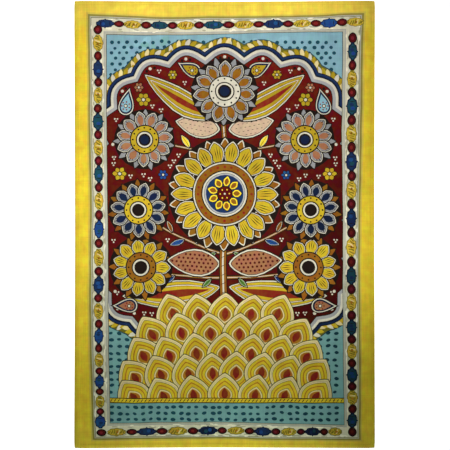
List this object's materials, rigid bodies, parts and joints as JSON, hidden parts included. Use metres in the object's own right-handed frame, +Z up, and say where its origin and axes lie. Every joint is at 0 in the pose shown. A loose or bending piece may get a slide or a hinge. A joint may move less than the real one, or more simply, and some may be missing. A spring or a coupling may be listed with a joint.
{
  "type": "kalamkari panel",
  "caption": "Flat hemmed cotton kalamkari panel: a yellow ground, a bead-and-rosette painted border and a floral field.",
  "frame": {"origin": "under the middle of the cloth, on the surface that it lies on", "axes": "+X to the picture's right, +Y towards the picture's top, +Z up out of the painted face"},
  "size_m": [0.61, 0.908, 0.0049],
  "materials": {
    "dyed_cotton": "matt plain-woven cotton with painted vegetable dyes"
  },
  "bodies": {
    "root": {"panel_cloth": "dyed_cotton"}
  },
  "joints": []
}
